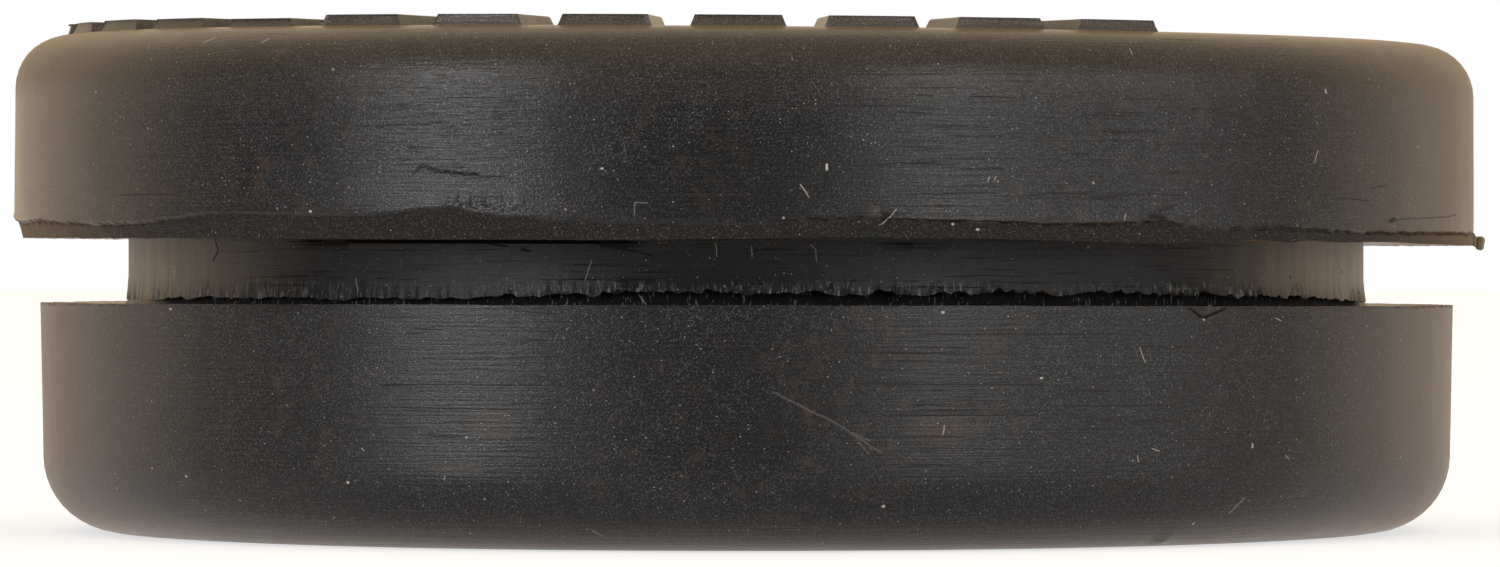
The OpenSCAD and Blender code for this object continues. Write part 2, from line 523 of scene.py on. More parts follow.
# %% Rough patch above the lip
rough_patch = (np.abs(angle + 20) < 4) & (np.abs(height - 8.02 * MM) < 0.3 * MM)
rough_patch &= flat_radius > upper_r - 0.1 * MM
flecks = np.clip(swirl(rough_patch, 0.09 * MM, 5), 0, 1)
flecks *= bump(angle, -19.5, 4) * np.clip(2 * bump(height, 8.05 * MM, 0.25 * MM), 0, 1)
radius += flecks * 0.06 * MM
torn = np.maximum(torn, np.clip(flecks, 0, 0.22))
print(f"{np.count_nonzero(flecks)} points in the rough patch")

# %% [markdown]
# ### Uneven walls
# Moulded rubber is never quite true. Its walls swell and sink by a hundredth of a millimetre or so, and
# that makes long highlights waver. Smooth noise at two sizes moves the walls and leaves the base flat.

# %% Slight unevenness of the walls
clear_of_groove = (flat_height < groove_low - 0.05 * MM) | (flat_height > groove_high + 0.05 * MM)
outer_walls = (flat_radius > lower_r - 2 * MM) & clear_of_groove
outer_walls &= (flat_height > 0.3 * MM) & (flat_height < top - 0.3 * MM)
radius += swirl(outer_walls, 4 * MM, 6) * 0.012 * MM
radius += swirl(outer_walls, 1.2 * MM, 7) * 0.004 * MM
print(f"{np.count_nonzero(outer_walls)} points of the walls swell and sink")

# %% [markdown]
# ### A tag, and the lean of the ring
# A small tag of rubber stands out under the foot. The whole ring also leans a little and is not quite
# round, as soft parts are. Those last pushes act on every point at once, so they come at the end, and
# then the points go back to the mesh together with marks that tell the material where it is torn and where
# shade is painted.

# %% A tag of rubber under the foot
tag = bump(angle, 36.4, 0.9) * bump(flat_height, 0.2 * MM, 0.2 * MM) * (flat_radius > foot_x)
height -= tag * 0.07 * MM
radius += tag * 0.04 * MM
print(f"{np.count_nonzero(tag)} points in the tag")

# %% Mark the bars, and let some stand lower
on_bar = (flat_height > top + small).astype(float)
bar_drop = np.select([angle < -79, angle < -58, angle < -48, angle < -37], [0, 0.03, 0.05, 0.09], 0.02)
height -= on_bar * bar_drop * MM
print(f"{np.count_nonzero(on_bar)} points on the bars")

# %% Swell, lean and sag the whole ring
upper_side = (flat_height > groove_high - small) & (flat_radius > neck_r + 1.2 * MM)
lower_side = (flat_height < groove_low + small) & (flat_radius > neck_r + 0.5 * MM)
to_left, to_right = np.clip(-side, 0, 1), np.clip(side, 0, 1)
swell = np.interp(flat_height, np.array([8, 11]) * MM, [0.1, 0.065]) * to_left + 0.03 * to_right
swell *= np.interp(flat_radius, [shoulder_x - 0.1 * MM, upper_r - 0.3 * MM], [0.4, 1])
radius += swell * MM * upper_side
radius += 0.07 * to_right * MM * lower_side
radius += 0.04 * to_right * MM * in_groove * (flat_radius < neck_r + 0.05 * MM)
lean = np.interp(height, np.array([0, 5.7, 7.25, 12.2]) * MM, np.array([0, 0.035, 0.088, 0.134]) * MM)
saddle = np.interp(height, np.array([0, 5.7, 12.2]) * MM, np.array([0, -0.024, 0.045]) * MM)
turn = np.radians(angle)
across, along = np.sin(turn) * radius / upper_r, np.cos(turn) * radius / upper_r
height += -lean * across + saddle * (across ** 2 - along ** 2)
print(f"the ring leans by {np.ptp(lean * across) / MM:.2f} mm")

# %% Write the points back, with the marks for the material
points = np.stack([radius * np.sin(turn), -radius * np.cos(turn), height], axis=1)
body.data.vertices.foreach_set("co", points.ravel())
for name, values in [("torn", torn), ("hollow", hollow), ("lip", lip), ("seam", seam), ("bar", on_bar)]:
    body.data.attributes.new(name, "FLOAT", "POINT").data.foreach_set("value", values)
body.data.update()
print(f"edges worked, {np.count_nonzero(torn)} points torn")

# %% [markdown]
# ## The stub of flash
# One short stub of flash still hangs at the parting line, with a bead at its end. It is pulled out
# of the lip's faces by a few extrusions, each a little wider or narrower than the last.

# %% Pull out the stub
bpy.ops.object.mode_set(mode="EDIT")
stub = pick("FACE", lambda angle, radius, height: (
    abs(angle - 90) < 0.8 and radius > upper_r - 0.4 * MM and 7.1 * MM < height < 7.56 * MM))
print(f"stub starts from {stub} faces")
pulls = [(0.05, -0.02, 0.85), (0.06, -0.05, 0.8), (0.05, -0.05, 0.9), (0.03, -0.01, 1.3),
         (0.09, -0.01, 1.1), (0.06, 0, 0.8), (0.02, 0, 0.4)]
for out, drop, size in pulls:
    bpy.ops.mesh.extrude_region_move(TRANSFORM_OT_translate={"value": (out * MM, 0, drop * MM)})
    bpy.ops.transform.resize(value=(1, size, size))
bpy.ops.object.mode_set(mode="OBJECT")

# %% Smooth the shading of all but sharp edges
bpy.ops.object.shade_smooth_by_angle(angle=math.radians(35))
triangles = sum(len(face.vertices) - 2 for face in body.data.polygons)
print(f"body: {len(body.data.polygons)} faces, {triangles} triangles")

# %% [markdown]
# ## A small helper for nodes
# Shader nodes are added by type, with their values and links given in one line each. That keeps the
# recipe of a material readable from top to bottom, as it would read from left to right on screen.

# %% Helper that adds nodes
class Recipe:
    """Adds nodes to a tree. A value given to a socket is either a number or another node's output."""

    def __init__(self, tree):
        self.tree = tree

    def add(self, kind, sockets=None, out=0, **settings):
        """Adds one node with its settings and sockets, and hands back one of its outputs."""
        made = self.tree.nodes.new("ShaderNode" + kind)
        for name, value in settings.items():
            setattr(made, name, value)
        for name, value in (sockets or {}).items():
            self.put(made, name, value)
        return made.outputs[out]

    def put(self, made, name, value):
        """Links an output to a socket, or sets the socket to a number."""
        if isinstance(value, bpy.types.NodeSocket):
            self.tree.links.new(value, made.inputs[name])
        else:
            made.inputs[name].default_value = value

    def math(self, operation, *values):
        """One sum on numbers."""
        return self.add("Math", dict(enumerate(values)), operation=operation)

    def vector(self, operation, *values):
        """The same sum on the three parts of a vector."""
        return self.add("VectorMath", dict(enumerate(values)), operation=operation)

    def times(self, first, second):
        return self.math("MULTIPLY", first, second)

    def most(self, first, second):
        return self.math("MAXIMUM", first, second)

    def noise(self, where, scale, detail=2.0, roughness=0.5):
        """Soft noise from 0 to 1. A larger scale gives smaller spots."""
        return self.add("TexNoise", {"Vector": where, "Scale": scale, "Detail": detail,
                                     "Roughness": roughness})

    def stretch(self, where, scale, turn=(0, 0, 0)):
        """The place scaled by its own amount along each axis, which draws a pattern out."""
        return self.add("Mapping", {"Vector": where, "Scale": scale, "Rotation": turn})

    def ramp(self, value, low, high, to_low=0.0, to_high=1.0):
        """A smooth step from one value to another as the input goes from low to high."""
        return self.add("MapRange", {"Value": value, "From Min": low, "From Max": high,
                                     "To Min": to_low, "To Max": to_high}, interpolation_type="SMOOTHSTEP")

    def blend(self, share, first, second):
        """Lays the second color over the first by a share from 0 to 1."""
        made = self.tree.nodes.new("ShaderNodeMix")
        made.data_type = "RGBA"
        for name, value in zip(("Factor", "A", "B"), (share, first, second)):
            socket = next(put for put in made.inputs if put.name == name and put.enabled)
            if isinstance(value, bpy.types.NodeSocket):
                self.tree.links.new(value, socket)
            else:
                socket.default_value = value
        return next(put for put in made.outputs if put.enabled)


# %% [markdown]
# ## Where a point lies on the ring
# The look of the rubber changes with place: the walls are burnished, the lip is dull and the torn
# foot is rough. So the recipe first works out each point's angle, height and distance from the axis,
# all from Object coordinates, in degrees and millimetres.

# %% Place on the ring
rubber = bpy.data.materials.new("black_rubber")
rubber.use_nodes = True
shader = rubber.node_tree.nodes["Principled BSDF"]
mix = Recipe(rubber.node_tree)
where = mix.add("VectorMath", {0: mix.add("TexCoord", out="Object"), "Scale": 1000.0}, operation="SCALE")
split = mix.add("SeparateXYZ", {0: where}).node.outputs
degrees = mix.math("DEGREES", mix.math("ARCTAN2", split["X"], mix.times(split["Y"], -1.0)))
level = split["Z"]
across = mix.math("SQRT", mix.math("ADD", mix.times(split["X"], split["X"]),
                                   mix.times(split["Y"], split["Y"])))
torn_mark, recess_shade_mark, lip_mark, seam_mark, bar_mark = (
    mix.add("Attribute", attribute_name=name, out="Fac")
    for name in ("torn", "hollow", "lip", "seam", "bar"))
on_wall = mix.ramp(across, 16.4, 17.2)
on_neck = mix.times(mix.ramp(across, 15.7, 16.1, 1.0, 0.0), mix.ramp(across, 12.0, 14.0))
in_height = mix.times(mix.ramp(level, 5.2, 5.4), mix.ramp(level, 7.8, 7.6))
on_neck = mix.times(on_neck, in_height)
wall_mm = math.radians(upper_r / MM)
print(f"one degree is {wall_mm:.3f} mm of wall")

# %% [markdown]
# ## Fine marks on the walls
# Lint, scuffs and hairline cracks are finer than the mesh. Each one is a stroke: a straight line from
# one place on the wall to the next, given as degrees from the front and a height in millimetres. The
# shader measures how far a point is from the line, and a little noise keeps the line from being ruled.
# A vector node does three sums at once, so each one works on three strokes and rendering is quicker.

# %% Helpers that draw strokes
unsteady = mix.add("VectorMath", {0: mix.add("TexNoise", {"Vector": where, "Scale": 4.0}, out=1),
                                  1: (0.5, 0.5, 0.5)}, operation="SUBTRACT")
wall = mix.add("VectorMath", {
    0: unsteady, 1: (0.06, 0.06, 0),
    2: mix.add("CombineXYZ", {0: mix.times(degrees, wall_mm), 1: level})},
    operation="MULTIPLY_ADD")
wall_x, wall_y = mix.add("SeparateXYZ", {0: wall}).node.outputs[:2]
wall_x = mix.add("CombineXYZ", {0: wall_x, 1: wall_x, 2: wall_x})
wall_y = mix.add("CombineXYZ", {0: wall_y, 1: wall_y, 2: wall_y})


def in_threes(lines):
    """The lines in groups of three. The last group is filled up with copies of the last line."""
    filled = lines + lines[-1:] * (-len(lines) % 3)
    return [filled[i:i + 3] for i in range(0, len(filled), 3)]


def three_strokes(lines):
    """How far a point is from three straight strokes, squared, as the three parts of a vector."""
    first_x, first_y = ([start[i] for start, end in lines] for i in (0, 1))
    run, rise = ([end[i] - start[i] for start, end in lines] for i in (0, 1))
    length = [math.hypot(*both) for both in zip(run, rise)]
    aside = mix.vector("SUBTRACT", wall_x, first_x)
    above = mix.vector("SUBTRACT", wall_y, first_y)
    across = [part / whole ** 2 for part, whole in zip(run, length)]
    upward = [part / whole ** 2 for part, whole in zip(rise, length)]
    share = mix.vector("MULTIPLY_ADD", above, upward, mix.vector("MULTIPLY", aside, across))
    share = mix.vector("MAXIMUM", mix.vector("MINIMUM", share, (1, 1, 1)), (0, 0, 0))
    aside = mix.vector("MULTIPLY_ADD", share, [-part for part in run], aside)
    above = mix.vector("MULTIPLY_ADD", share, [-part for part in rise], above)
    return mix.vector("MULTIPLY_ADD", above, above, mix.vector("MULTIPLY", aside, aside))


def strokes(routes, thick):
    """1 on any of the routes, which are lists of places, and 0 beside them."""
    places = [[(turn * wall_mm, height_mm) for turn, height_mm in route] for route in routes]
    lines = [line for route in places for line in zip(route, route[1:])]
    far_off = 1000.0
    nearest = (far_off, far_off, far_off)
    for trio in in_threes(lines):
        nearest = mix.vector("MINIMUM", nearest, three_strokes(trio))
    parts = mix.add("SeparateXYZ", {0: nearest}).node.outputs
    nearest = mix.math("MINIMUM", mix.math("MINIMUM", parts[0], parts[1]), parts[2])
    return mix.ramp(mix.math("SQRT", nearest), 0.3 * thick, 0.65 * thick, 1.0, 0.0)


def patch(turn, wide, height_mm, tall):
    """A soft spot on the wall, 1 at its middle: its place is an angle from the front and a height."""
    aside = mix.math("DIVIDE", mix.math("SUBTRACT", degrees, turn), wide)
    above = mix.math("DIVIDE", mix.math("SUBTRACT", level, height_mm), tall)
    far = mix.math("ADD", mix.times(aside, aside), mix.times(above, above))
    return mix.ramp(far, 0.0, 1.0, 1.0, 0.0)


# %% Lint and crumbs on the walls
lint = strokes([
    [(-44.6, 12.02), (-45.5, 11.9)], [(-38.7, 11.95), (-39.2, 11.86)],
    [(4.0, 8.49), (4.4, 8.3), (4.6, 8.2)],
    [(9.9, 7.57), (10.6, 7.76), (11.0, 7.92)],
    [(17.8, 8.56), (17.95, 8.67)], [(18.35, 8.6), (18.45, 8.68)], [(29.9, 11.67), (29.9, 11.55)],
    [(28.8, 7.67), (28.9, 7.81)], [(-30.4, 2.38), (-30.2, 2.31)], [(-12.0, 0.51), (-11.2, 0.37)],
    [(-23.3, 1.66), (-23.2, 1.76)], [(15.0, 2.74), (15.1, 2.94)], [(31.2, 2.2), (31.3, 2.05)],
    [(31.3, 4.72), (31.8, 4.38)], [(45.0, 5.39), (45.6, 5.32)], [(32.5, 2.36), (33.2, 2.31)],
    [(42.3, 1.16), (41.2, 0.8)], [(46.4, 2.13), (46.8, 2.06)], [(47.9, 9.35), (47.5, 9.05)],
    [(95, 9.6), (96.4, 9.9)], [(142, 3.4), (143, 3.0)], [(-120, 10.2), (-121, 9.7)],
    [(-164, 2.2), (-163, 2.5)],
], thick=0.028)
faint_lint = strokes([[(-8.0, 7.8), (-7.9, 8.07), (-7.0, 8.07)]], thick=0.028)
crumbs = strokes([
    [(5.9, 8.94), (5.91, 8.84)], [(-33.6, 7.89), (-33.5, 7.89)], [(-10.4, 8.86), (-10.3, 8.86)],
    [(-49.0, 1.62), (-48.9, 1.62)], [(-31.8, 1.57), (-31.7, 1.57)], [(10.5, 1.08), (10.6, 1.08)],
    [(42.6, 2.42), (42.6, 2.36)], [(38.0, 0.56), (38.1, 0.56)], [(48.8, 10.79), (48.9, 10.72)],
    [(-50.6, 5.6), (-50.5, 5.6)], [(14.9, 5.56), (15.0, 5.56)], [(22.8, 4.03), (22.9, 4.03)],
    [(37.3, 5.36), (37.35, 5.36)], [(15.2, 7.58), (15.25, 7.58)], [(17.1, 7.46), (17.2, 7.46)],
], thick=0.055)
print(f"{len(rubber.node_tree.nodes)} nodes so far")

# %% Scuffs and hairline cracks on the walls
scuffs = strokes([
    [(2.1, 3.72), (5.5, 3.2), (6.7, 3.03), (10.3, 2.31)], [(8.0, 2.78), (9.4, 2.6)],
    [(8.6, 2.55), (9.3, 2.31)],
], thick=0.05)
cracks = strokes([
    [(-54.4, 8.3), (-51.7, 8.33), (-47.5, 8.31)], [(-42.7, 7.9), (-28.9, 7.91)],
    [(-28.8, 3.86), (-21.6, 3.88), (-11.2, 3.86)],
    [(-26.8, 3.33), (-18.1, 3.31)], [(-24.4, 2.66), (-22.0, 2.67)], [(-17.5, 5.58), (-14.3, 5.52)],
    [(-25.7, 5.16), (-23.3, 5.15)], [(8.2, 3.91), (22.8, 3.87)], [(10.3, 3.18), (22.8, 3.17)],
    [(13.1, 5.06), (26.5, 5.04)], [(-25.7, 9.05), (-25.0, 9.07)], [(-25.3, 9.38), (-23.3, 9.35)],
    [(-18.6, 9.76), (-17.4, 9.79)], [(11.1, 8.26), (18.4, 8.31)],
    [(20.8, 8.23), (22.7, 8.31), (25.8, 8.29)], [(26.0, 8.17), (29.4, 8.28)],
    [(54.8, 8.48), (57.4, 8.55)], [(49.7, 8.21), (51.5, 8.23), (54.5, 8.18)], [(31.9, 7.9), (33.2, 8.03)],
    [(58.7, 7.74), (70.0, 7.82), (72.5, 7.9)], [(12.6, 10.55), (13.7, 10.53)],
    [(16.8, 10.51), (18.4, 10.53)], [(47.5, 9.05), (47.5, 8.87)],
    [(-24.8, 8.72), (-24.3, 8.88), (-23.9, 8.9), (-23.0, 8.8), (-21.6, 8.75), (-19.3, 8.7), (-17.5, 8.67)],
    [(36.0, 5.64), (36.8, 5.48), (37.3, 5.41), (38.4, 5.53), (39.7, 5.66)],
], thick=0.03)
pits = strokes([
    [(57.8, 7.71), (58.7, 7.74)], [(31.1, 7.78), (32.3, 7.74)], [(10.1, 7.8), (10.5, 7.77)],
], thick=0.12)
print(f"{len(rubber.node_tree.nodes)} nodes so far")

# %% Cracks and lint on the neck
neck_cracks = strokes([
    [(-55.5, 7.26), (-54.9, 6.99), (-55.8, 6.75)], [(-19.7, 7.02), (-18.9, 6.96)],
    [(58.0, 6.37), (58.1, 6.33)], [(70.5, 6.49), (70.7, 6.45)], [(77.5, 5.98), (77.7, 5.95)],
    [(-12.9, 7.15), (-10.4, 7.02), (-8.0, 6.87)], [(-22.7, 7.14), (-21.0, 7.08)],
], thick=0.055)
neck_lint = strokes([
    [(5.7, 7.11), (6.1, 7.0), (6.2, 6.74)], [(0.6, 7.07), (0.6, 6.82)], [(-2.5, 7.15), (-2.4, 6.84)],
    [(-13.3, 6.76), (-13.9, 6.29)], [(-36.4, 6.33), (-36.1, 6.03)], [(-9.4, 5.94), (-8.8, 5.74)],
], thick=0.03)
print(f"{len(rubber.node_tree.nodes)} nodes so far, nearly all for the strokes")

# %% [markdown]
# ## Grain, dust and wear
# The black is not even: a fine pale grain lies all over it, brownish bloom comes through in places, and
# dust sits on it as specks. The specks are the middles of some of the cells of a Voronoi pattern, so
# each can have its own size and strength. Scores from the mould run round the walls as long thin lines.

# %% Patterns
grain = mix.noise(where, 25.0, 1.0, 0.6)
cloud = mix.noise(where, 1.1, 4.0, 0.6)
broad = mix.noise(where, 0.22, 2.0, 0.5)
streak = mix.noise(mix.stretch(where, (0.3, 0.3, 15.0)), 1.0, 3.0, 0.65)
ripple = mix.noise(mix.stretch(where, (1.5, 1.5, 16.0), (0.0, math.radians(-9), 0.0)), 1.0, 2.0, 0.6)
shred = mix.noise(mix.stretch(where, (17.0, 17.0, 3.6)), 1.0, 2.0, 0.65)
upright = mix.noise(mix.stretch(where, (2.6, 2.6, 0.25)), 1.0, 3.0, 0.6)
off_front = mix.math("ABSOLUTE", degrees)
burnished = mix.most(mix.ramp(off_front, 46.0, 60.0, 1.0, 0.1), mix.ramp(off_front, 112.0, 130.0))


def dust(scale, share, smallest, largest):
    """Round specks: a random share of the cells, each with a speck of its own size and strength."""
    cells = mix.add("TexVoronoi", {"Vector": where, "Scale": scale, "Randomness": 1.0})
    luck = mix.add("SeparateColor", {0: cells.node.outputs["Color"]}).node.outputs
    size = mix.ramp(luck["Green"], 0.0, 1.0, smallest * scale, largest * scale)
    speck = mix.math("LESS_THAN", cells.node.outputs["Distance"], size)
    strength = mix.ramp(luck["Blue"], 0.0, 1.0, 0.15, 1.0)
    chosen = mix.math("GREATER_THAN", luck["Red"], 1.0 - share)
    return mix.times(chosen, mix.times(speck, strength))


specks = mix.most(dust(2.2, 0.3, 0.016, 0.036), dust(11.0, 0.2, 0.01, 0.018))
specks = mix.most(specks, dust(0.6, 0.35, 0.03, 0.05))
scores = mix.times(mix.ramp(streak, 0.6, 0.74), burnished)
folds = mix.times(ripple, patch(-22, 16, 10.2, 1.9))
wavy = mix.times(mix.ramp(ripple, 0.58, 0.7), patch(-22, 14, 10.0, 1.8))
print(f"{len(rubber.node_tree.nodes)} nodes with the patterns")

# %% [markdown]
# ## Color
# The black is mixed in layers: the rubber with its grain, brown bloom, dust and painted light on the
# shoulder and at the foot, then the bars, the lip, the neck and the torn places, and the marks on top.
# Several layers are painted light and shade. Each layer is blended over those below it by a mask, so one
# can be changed by itself.

# %% Color: the black of the walls
deep_black = (0.0004, 0.0004, 0.0006, 1)
grey_grain = (0.041, 0.0435, 0.053, 1)
color = mix.blend(mix.ramp(grain, 0.5, 0.7), deep_black, grey_grain)
# Painted light: the upper wall is lightened where the left highlight falls, and both flanges are darkened
# in the middle between the two highlights. The cloud adds random tone.
painted_light_and_tone = mix.math("ADD", 1.0, mix.times(patch(-23, 12, 9.3, 2.6), 0.45))
painted_light_and_tone = mix.math("SUBTRACT", painted_light_and_tone, mix.times(patch(1, 13, 8.0, 2.4), 0.45))
painted_light_and_tone = mix.math("SUBTRACT", painted_light_and_tone, mix.times(patch(9, 15, 3.4, 3.6), 0.35))
painted_light_and_tone = mix.times(painted_light_and_tone, mix.ramp(cloud, 0.3, 0.7, 0.75, 1.25))
color = mix.add("VectorMath", {0: color, "Scale": painted_light_and_tone}, operation="SCALE")

# %% Color: bloom, painted highlights, and dust and painted light on the rounds
bloom_and_highlight_brown = (0.05, 0.03, 0.017, 1)
blister_highlight_grey = (0.06, 0.054, 0.044, 1)
dust_and_light_grey = (0.072, 0.064, 0.051, 1)
bloom_and_highlight = mix.times(mix.ramp(mix.noise(where, 1.9, 3.0, 0.7), 0.5, 0.75), mix.ramp(broad, 0.4, 0.65))
# Painted highlight: brown patches on the lower wall where the two highlights fall. The noise before them
# is the rubber's own brown bloom.
painted_highlight_patches = mix.most(patch(-19.3, 2.6, 3.0, 0.5), patch(-22.5, 3, 1.95, 0.2))
painted_highlight_patches = mix.most(painted_highlight_patches, patch(14.8, 3.2, 2.85, 0.45))
bloom_and_highlight = mix.most(mix.times(bloom_and_highlight, 0.5), mix.times(painted_highlight_patches, 0.35))
color = mix.blend(bloom_and_highlight, color, bloom_and_highlight_brown)
# Painted highlight: a pale spot on the blister above the lip.
color = mix.blend(mix.times(patch(9.3, 0.6, 7.88, 0.17), 0.6), color, blister_highlight_grey)
# Dust and painted light: the shoulder, the top face and the foot are painted paler, partly for dust and
# partly for the light they catch from the room above and from the floor.
dust_and_painted_light = mix.math("ADD", mix.ramp(level, 9.8, 11.8, 0.0, 0.4), mix.ramp(level, 11.7, 12.15, 0.0, 0.75))
dust_and_painted_light = mix.math("ADD", dust_and_painted_light, mix.ramp(level, 0.9, 0.05, 0.0, 0.75))
dust_and_painted_light = mix.times(dust_and_painted_light, mix.ramp(across, 15.0, 16.9, 0.35, 1.0))
dust_and_painted_light = mix.times(dust_and_painted_light, mix.ramp(grain, 0.3, 0.7, 0.5, 1.0))
color = mix.blend(dust_and_painted_light, color, dust_and_light_grey)

# %% Color: bars, ends and lip
# Painted light: the bars are the same rubber as the walls, painted a paler brown for the light their faces
# catch.
bar_dark, bar_pale = (0.03, 0.023, 0.017, 1), (0.1, 0.08, 0.062, 1)
lip_dark, lip_grain = (0.0004, 0.0004, 0.0004, 1), (0.042, 0.04, 0.036, 1)
lip_tan, rim_tan = (0.07, 0.055, 0.038, 1), (0.05, 0.041, 0.031, 1)
bar_color = mix.blend(mix.ramp(grain, 0.4, 0.65), bar_dark, bar_pale)
color = mix.blend(bar_mark, color, bar_color)
rim = mix.times(mix.ramp(off_front, 48.0, 74.0), mix.ramp(off_front, 132.0, 106.0))
lip_color = mix.blend(mix.ramp(grain, 0.52, 0.7), lip_dark, lip_grain)
# Painted light: the lip's ends at the sides are painted tan for the back light that grazes them.
lip_ends = mix.times(rim, mix.ramp(degrees, -20.0, -60.0, 0.55, 0.8))
lip_color = mix.blend(lip_ends, lip_color, lip_tan)
# Painted light: both sides of the walls are painted a paler tan for the back light that grazes them.
painted_rim_light = mix.times(mix.ramp(off_front, 40.0, 68.0, 0.0, 0.4), mix.ramp(off_front, 136.0, 106.0))
color = mix.blend(painted_rim_light, color, rim_tan)
color = mix.blend(lip_mark, color, lip_color)

# %% Color: the neck and its torn foot
groove_shade_black, neck_tan = (0.001, 0.001, 0.0013, 1), (0.24, 0.19, 0.135, 1)
tear_dark, tear_pale = (0.001, 0.001, 0.0011, 1), (0.24, 0.24, 0.23, 1)
fibre_grey, hanging_grey = (0.15, 0.15, 0.145, 1), (0.22, 0.22, 0.21, 1)
recess_shade_black = (0.003, 0.0035, 0.0045, 1)
# Painted shade: the neck is darkened where the two flanges shade the groove.
color = mix.blend(mix.times(on_neck, 0.75), color, groove_shade_black)
# Painted light: the ends of the neck at the sides are painted a pale tan for the back light they catch,
# drawn out in upright streaks.
neck_ends = mix.times(mix.ramp(off_front, 40.0, 72.0), mix.ramp(off_front, 132.0, 106.0))
brushed_and_rim_lit = mix.times(mix.times(on_neck, neck_ends), mix.ramp(upright, 0.3, 0.7, 0.5, 0.88))
brushed_and_rim_lit = mix.times(brushed_and_rim_lit, mix.ramp(degrees, 0.0, 60.0, 0.8, 1.0))
color = mix.blend(brushed_and_rim_lit, color, neck_tan)
dry = mix.blend(mix.ramp(shred, 0.54, 0.66), tear_dark, tear_pale)
color = mix.blend(torn_mark, color, dry)
fibres = mix.times(on_neck, mix.ramp(cloud, 0.45, 0.6))
fibres = mix.times(mix.ramp(shred, 0.66, 0.72), fibres)
color = mix.blend(mix.times(fibres, 0.5), color, fibre_grey)
# Painted shade: the recess under the tear, the band above it and the ledge are painted near black.
color = mix.blend(recess_shade_mark, color, recess_shade_black)
hanging = mix.times(recess_shade_mark, mix.ramp(shred, 0.6, 0.7))
color = mix.blend(mix.times(hanging, 0.5), color, hanging_grey)

# %% Color: cracks, lint and dust
line_black = (0.0005, 0.0005, 0.0005, 1)
dust_pale = (0.42, 0.4, 0.37, 1)
stub_backlight_tan = (0.2, 0.155, 0.1, 1)
dark_lines = mix.times(on_wall, mix.most(pits, mix.times(cracks, 0.9)))
dark_lines = mix.most(dark_lines, mix.times(on_neck, neck_cracks))
dark_lines = mix.most(dark_lines, seam_mark)
worn_lines = mix.times(on_wall, mix.most(scores, wavy))
dark_lines = mix.most(dark_lines, mix.times(worn_lines, 0.5))
color = mix.blend(dark_lines, color, line_black)
pale_marks = mix.most(mix.times(lint, 0.55), mix.times(crumbs, 0.9))
pale_marks = mix.most(pale_marks, mix.times(scuffs, 0.1))
pale_marks = mix.most(pale_marks, mix.times(faint_lint, 0.22))
pale_marks = mix.times(on_wall, pale_marks)
pale_marks = mix.most(pale_marks, mix.times(on_neck, mix.times(neck_lint, 0.4)))
pale_marks = mix.most(pale_marks, mix.times(specks, 0.6))
color = mix.blend(pale_marks, color, dust_pale)
# Painted light: the stub of flash is painted a light tan for the back light that shows through it.
color = mix.blend(mix.ramp(across, 18.34, 18.38), color, stub_backlight_tan)
mix.put(shader, "Base Color", color)
print(f"{len(rubber.node_tree.nodes)} nodes with the color")

# %% [markdown]
# ## Gloss and relief
# The walls are half polished and the torn places are dull, so roughness follows the same masks. Sheen
# adds the warm glow that dust gives at the edges. What is the same all over is set on the shader's own
# sockets. Only relief that is finer than the mesh is left to bump.

# %% Gloss
dull = mix.math("ADD", 0.235, mix.times(cloud, 0.12))
dull = mix.math("ADD", dull, mix.times(on_neck, 0.14))
dull = mix.math("ADD", dull, mix.times(dark_lines, 0.35))
dull_ends = mix.most(mix.ramp(level, 6.0, 5.4), mix.ramp(level, 10.6, 11.4))
dull_ends = mix.times(mix.most(dull_ends, mix.ramp(degrees, 50.0, 70.0)), on_wall)
dull = mix.math("ADD", dull, mix.times(mix.times(rim, dull_ends), 0.1))
dull = mix.most(dull, mix.times(lip_mark, 0.75))
dull = mix.most(dull, mix.times(torn_mark, 0.85))
dull = mix.most(dull, recess_shade_mark)
mix.put(shader, "Roughness", mix.most(dull, mix.times(pale_marks, 0.9)))
shader.inputs["IOR"].default_value = 1.36
shader.inputs["Sheen Weight"].default_value = 0.2
shader.inputs["Sheen Roughness"].default_value = 0.35
shader.inputs["Sheen Tint"].default_value = (1.0, 0.52, 0.18, 1)
print(f"sheen {shader.inputs['Sheen Weight'].default_value:.1f}")

# %% Relief
relief = mix.times(mix.times(streak, burnished), 2.2)
relief = mix.math("ADD", relief, mix.times(folds, 3.0))
relief = mix.math("ADD", relief, mix.times(grain, 1.2))
relief = mix.math("SUBTRACT", relief, mix.times(scores, 1.5))
normal = mix.add("Bump", {"Height": relief, "Distance": 0.006 * MM, "Strength": 1.0}, out="Normal")
mix.put(shader, "Normal", normal)
body.data.materials.clear()
body.data.materials.append(rubber)
print(f"{len(rubber.node_tree.nodes)} nodes in the whole material")

# %% [markdown]
# ## The floor
# The ring lies on a plain pale floor. Paint bright enough to look white would throw that light back up
# at the rubber, so light falls on a plain pale paint, and only the rays that are seen find it whiter.
# The ring's shadow is kept in both.

# %% Floor
bpy.ops.mesh.primitive_plane_add(size=4, location=(0, 0, -0.01 * MM))
floor = bpy.context.object
floor.name = "floor"
paint = bpy.data.materials.new("floor_paint")
paint.use_nodes = True
floor.data.materials.append(paint)
mix = Recipe(paint.node_tree)
paint.node_tree.nodes.remove(paint.node_tree.nodes["Principled BSDF"])


def seen_ray():
    """1 for a ray from the camera, or one that a shiny or clear surface sends on."""
    rays = mix.add("LightPath").node.outputs
    sent_on = mix.most(rays["Is Glossy Ray"], rays["Is Transmission Ray"])
    return mix.most(rays["Is Camera Ray"], sent_on)


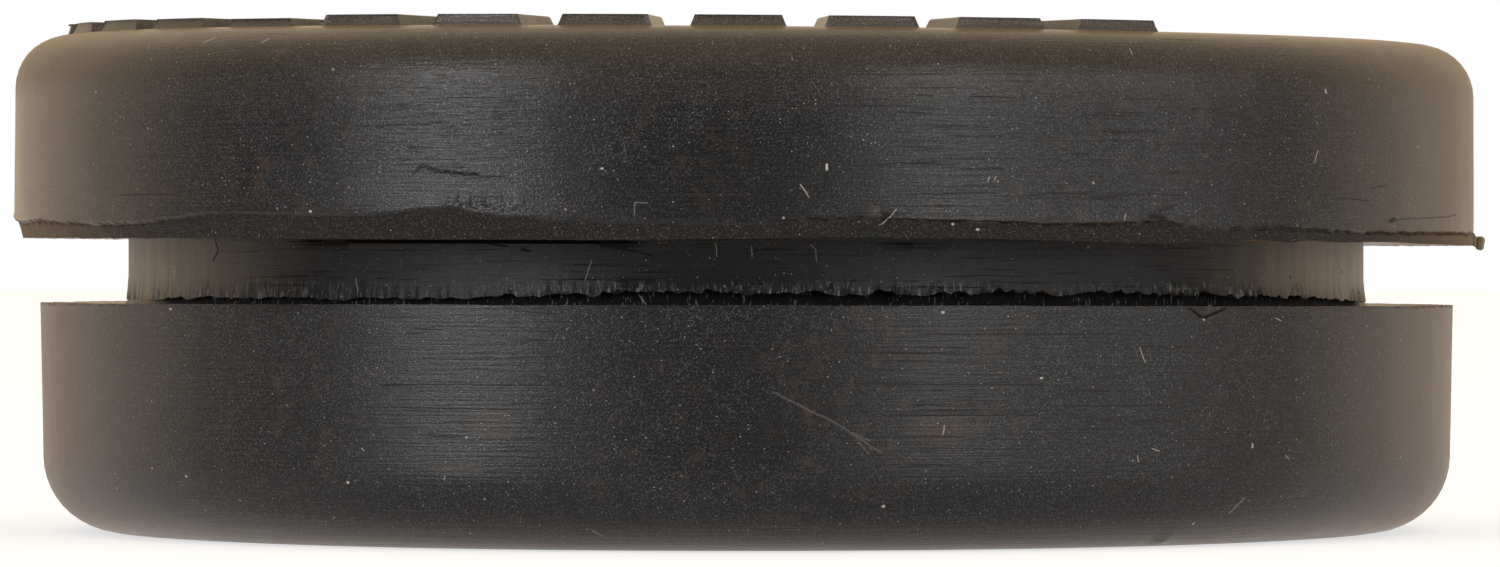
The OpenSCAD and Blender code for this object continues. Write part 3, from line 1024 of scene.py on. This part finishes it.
plain = mix.add("BsdfDiffuse", {"Color": (0.8, 0.79, 0.77, 1)})
shown = mix.add("AddShader", {0: mix.add("BsdfDiffuse", {"Color": (0.45, 0.46, 0.49, 1)}),
                              1: mix.add("Emission", {"Color": (1, 1, 1, 1), "Strength": 0.66})})
surface = mix.add("MixShader", {0: seen_ray(), 1: plain, 2: shown})
mix.put(paint.node_tree.nodes["Material Output"], "Surface", surface)
print(f"{floor.name} lies at {floor.location.z / MM:.2f} mm")

# %% [markdown]
# ## The camera
# A long lens, level with the groove, shows the ring almost side on and keeps perspective small. Aiming
# an empty with a constraint would work too, but the direction can be worked out in one line.

# %% Camera
lens = bpy.data.cameras.new("camera")
lens.sensor_width = 36
lens.lens = 190.4
stand_off = 200 * MM
off_centre = 0.12 * MM
eye_height, aim_height = 6.61 * MM, 6.18 * MM
camera = bpy.data.objects.new("camera", lens)
bpy.context.scene.collection.objects.link(camera)
bpy.context.scene.camera = camera
camera.location = (off_centre, -stand_off, eye_height)
aim = Vector((off_centre, 0, aim_height))
camera.rotation_euler = (aim - camera.location).to_track_quat("-Z", "Y").to_euler()
print(f"the camera stands {stand_off / MM:.0f} mm away with a {lens.lens:.0f} mm lens")

# %% [markdown]
# ## Studio light
# Black rubber shows its shape by what it mirrors. Two softboxes in front draw the two soft upright
# highlights, and a wide one fills in the right side. The room is bright and warm behind, which draws a
# pale line down both sides, and dim in front, as if a dark card stood there, so that the middle stays
# black. The camera and clear things see the room as plain white. Shiny things mirror the room itself,
# because white in front would turn the black grey.

# %% The room
world = bpy.data.worlds.new("studio")
bpy.context.scene.world = world
world.use_nodes = True
mix = Recipe(world.node_tree)
way = mix.add("SeparateXYZ", {0: mix.add("TexCoord", out="Generated")}).node.outputs
bright = mix.most(mix.ramp(way["Y"], -0.15, 0.45), mix.ramp(way["Z"], 0.2, 0.7))
room = mix.blend(bright, (0.085, 0.093, 0.135, 1), (1.0, 0.83, 0.6, 1))
rays = mix.add("LightPath").node.outputs
plain_white = mix.most(rays["Is Camera Ray"], rays["Is Transmission Ray"])
mix.put(world.node_tree.nodes["Background"], "Color", mix.blend(plain_white, room, (1, 1, 1, 1)))
print(f"{world.name}: {len(world.node_tree.nodes)} nodes")

# %% Three softboxes
def softbox(name, azimuth, elevation, distance, width, tall, power, color):
    """A soft lamp aimed at the middle of the ring, at an angle to the right of the front."""
    lamp = bpy.data.lights.new(name, "AREA")
    lamp.shape = "RECTANGLE"
    lamp.size, lamp.size_y, lamp.energy, lamp.color = width, tall, power, color
    holder = bpy.data.objects.new(name, lamp)
    bpy.context.scene.collection.objects.link(holder)
    side, rise = math.radians(azimuth), math.radians(elevation)
    way = Vector((math.sin(side) * math.cos(rise), -math.cos(side) * math.cos(rise), math.sin(rise)))
    holder.location = Vector((0, 0, 6 * MM)) + way * distance
    holder.rotation_euler = (-way).to_track_quat("-Z", "Y").to_euler()
    holder.visible_camera = False


softbox("left_softbox", -45, 5, 0.5, 0.15, 0.3, 1.56, (0.97, 0.98, 1.0))
softbox("right_softbox", 30, 5, 0.5, 0.1, 0.3, 0.92, (1, 0.99, 0.97))
softbox("right_fill", 62, 5, 0.5, 0.3, 0.3, 0.7, (1, 0.98, 0.96))
bpy.context.scene.view_settings.view_transform = "Standard"
print("lamps:", [lamp.name for lamp in bpy.data.lights])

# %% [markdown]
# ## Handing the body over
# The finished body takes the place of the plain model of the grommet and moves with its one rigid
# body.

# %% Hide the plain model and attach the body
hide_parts("grommet")
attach(body, "root")
